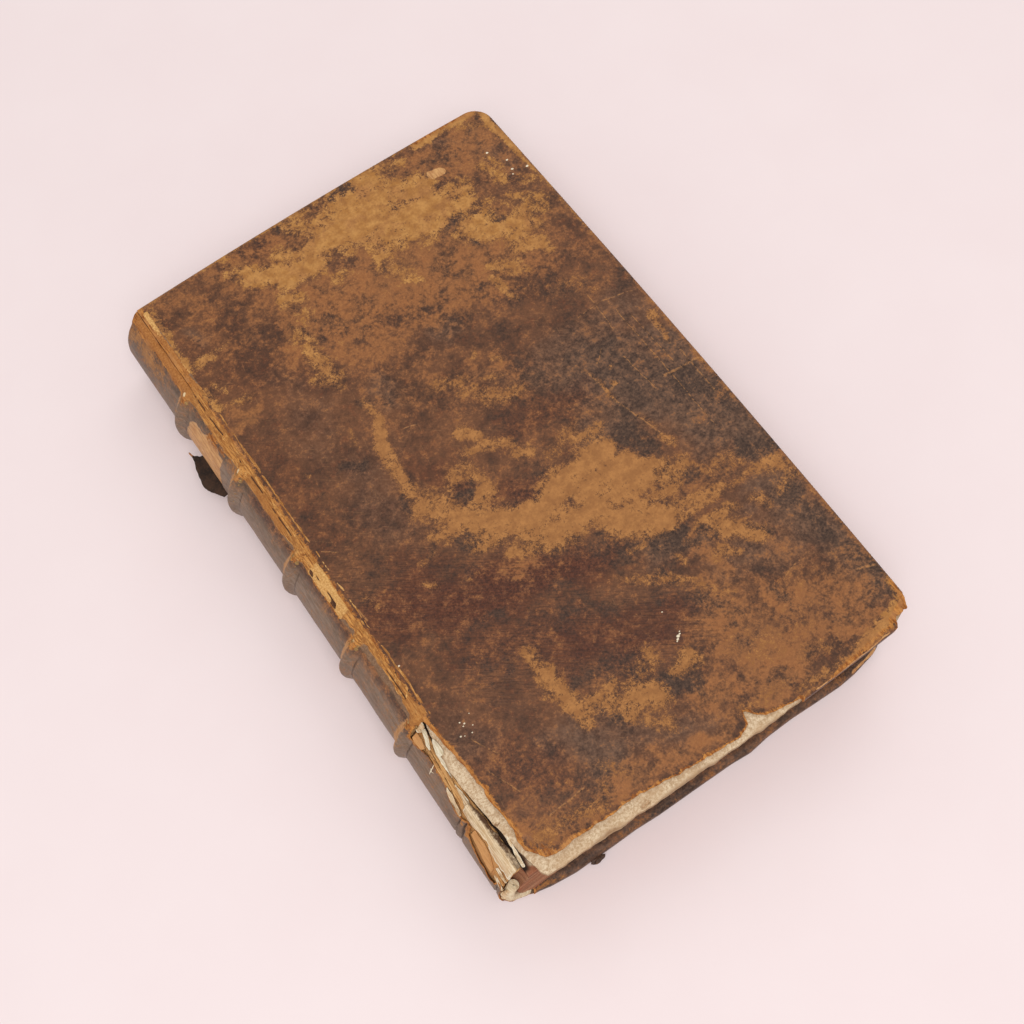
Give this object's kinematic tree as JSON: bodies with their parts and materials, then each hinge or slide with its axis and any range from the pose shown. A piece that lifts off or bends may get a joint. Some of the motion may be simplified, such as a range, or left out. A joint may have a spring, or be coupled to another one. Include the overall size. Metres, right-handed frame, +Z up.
{
  "type": "hardback book",
  "caption": "Old leather-bound folio with pasteboard covers, a rounded back with raised bands, torn and rubbed edges, and covers that turn at both joints.",
  "frame": {"origin": "centre of the back cover's outer face, on which the book lies", "axes": "+X from the joint to the fore-edge, +Y from the tail to the head, +Z up through the front cover"},
  "size_m": [0.2194, 0.332, 0.05],
  "materials": {
    "leaf_paper": "matte, edges stained a dusty red",
    "pasteboard": "matte, fibrous",
    "cover_calf": "semi-matte, rubbed to tan in patches",
    "spine_calf": "smooth and dull, rubbed orange at the joints",
    "pasted_paper": "matte, foxed",
    "hemp_cord": "matte, twisted",
    "lining_paper": "matte, glue-stained",
    "rolled_paper": "matte",
    "endband_thread": "faded silk"
  },
  "bodies": {
    "back_cover": {"lower_board": "pasteboard", "lower_cover_leather": "cover_calf", "lower_pastedown": "pasted_paper"},
    "book_block": {"text_block": "leaf_paper", "spine_leather": "spine_calf", "sewing_cord_1": "hemp_cord", "sewing_cord_2": "hemp_cord", "sewing_cord_3": "hemp_cord", "sewing_cord_4": "hemp_cord", "sewing_cord_5": "hemp_cord", "spine_lining_1": "lining_paper", "spine_lining_2": "lining_paper", "spine_lining_3": "lining_paper", "spine_lining_4": "lining_paper", "spine_lining_5": "lining_paper", "spine_lining_6": "lining_paper", "head_endband_core": "rolled_paper", "head_endband_sewing": "endband_thread", "tail_endband_core": "rolled_paper"},
    "front_cover": {"upper_board": "pasteboard", "upper_cover_leather": "cover_calf", "upper_pastedown": "pasted_paper"}
  },
  "joints": [
    {"name": "back_joint", "type": "hinge", "parent": "back_cover", "child": "book_block", "pos_m": [-0.1, 0, 0], "axis": [0, -1, 0], "range_deg": [0, 45]},
    {"name": "front_joint", "type": "hinge", "parent": "book_block", "child": "front_cover", "pos_m": [-0.1, 0, 0.05], "axis": [0, -1, 0], "range_deg": [0, 135]}
  ]
}
